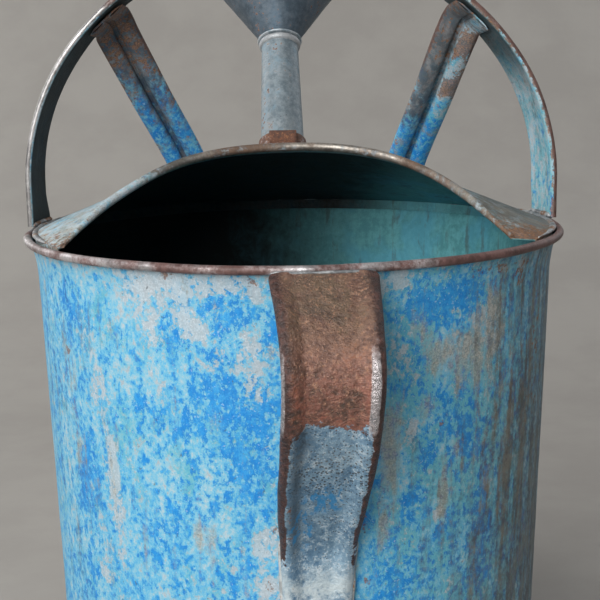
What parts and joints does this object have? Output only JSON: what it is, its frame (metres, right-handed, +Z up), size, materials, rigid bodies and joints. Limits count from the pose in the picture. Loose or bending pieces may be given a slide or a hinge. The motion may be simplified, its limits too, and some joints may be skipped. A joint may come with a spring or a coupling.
{
  "type": "watering can",
  "caption": "Old soldered sheet-metal watering can with a half hood, a tall hoop handle with stays, a strap handle at the back and a long straight spout with a pull-off rose.",
  "frame": {"origin": "on the ground under the middle of the whole can's bounding box", "axes": "+Z up, +Y the way the spout points, +X to the right when seen from the back handle"},
  "size_m": [0.2292, 0.5113, 0.4264],
  "materials": {
    "flaked_paint": "flaked blue paint over dull zinc, with rust specks",
    "worn_paint_pale": "chalky pale blue-grey, worn, with rust at the band",
    "rusted_steel": "brown rust, polished by hands on the edges",
    "bare_zinc": "dull weathered zinc"
  },
  "bodies": {
    "can": {"body_shell": "flaked_paint", "rim_wire": "rusted_steel", "base_disc": "bare_zinc", "hood": "flaked_paint", "hood_edge_wire": "rusted_steel", "back_handle": "rusted_steel", "hoop_handle": "flaked_paint", "left_stay": "flaked_paint", "right_stay": "flaked_paint", "spout_tube": "worn_paint_pale", "spout_band": "rusted_steel", "spout_stay": "rusted_steel"},
    "rose": {"rose_spigot": "bare_zinc", "rose_cone": "bare_zinc", "rose_face": "bare_zinc"}
  },
  "joints": [
    {"name": "rose_pull", "type": "slide", "parent": "can", "child": "rose", "axis": [0, 0.5592, 0.829], "range_m": [0, 0.03]}
  ]
}
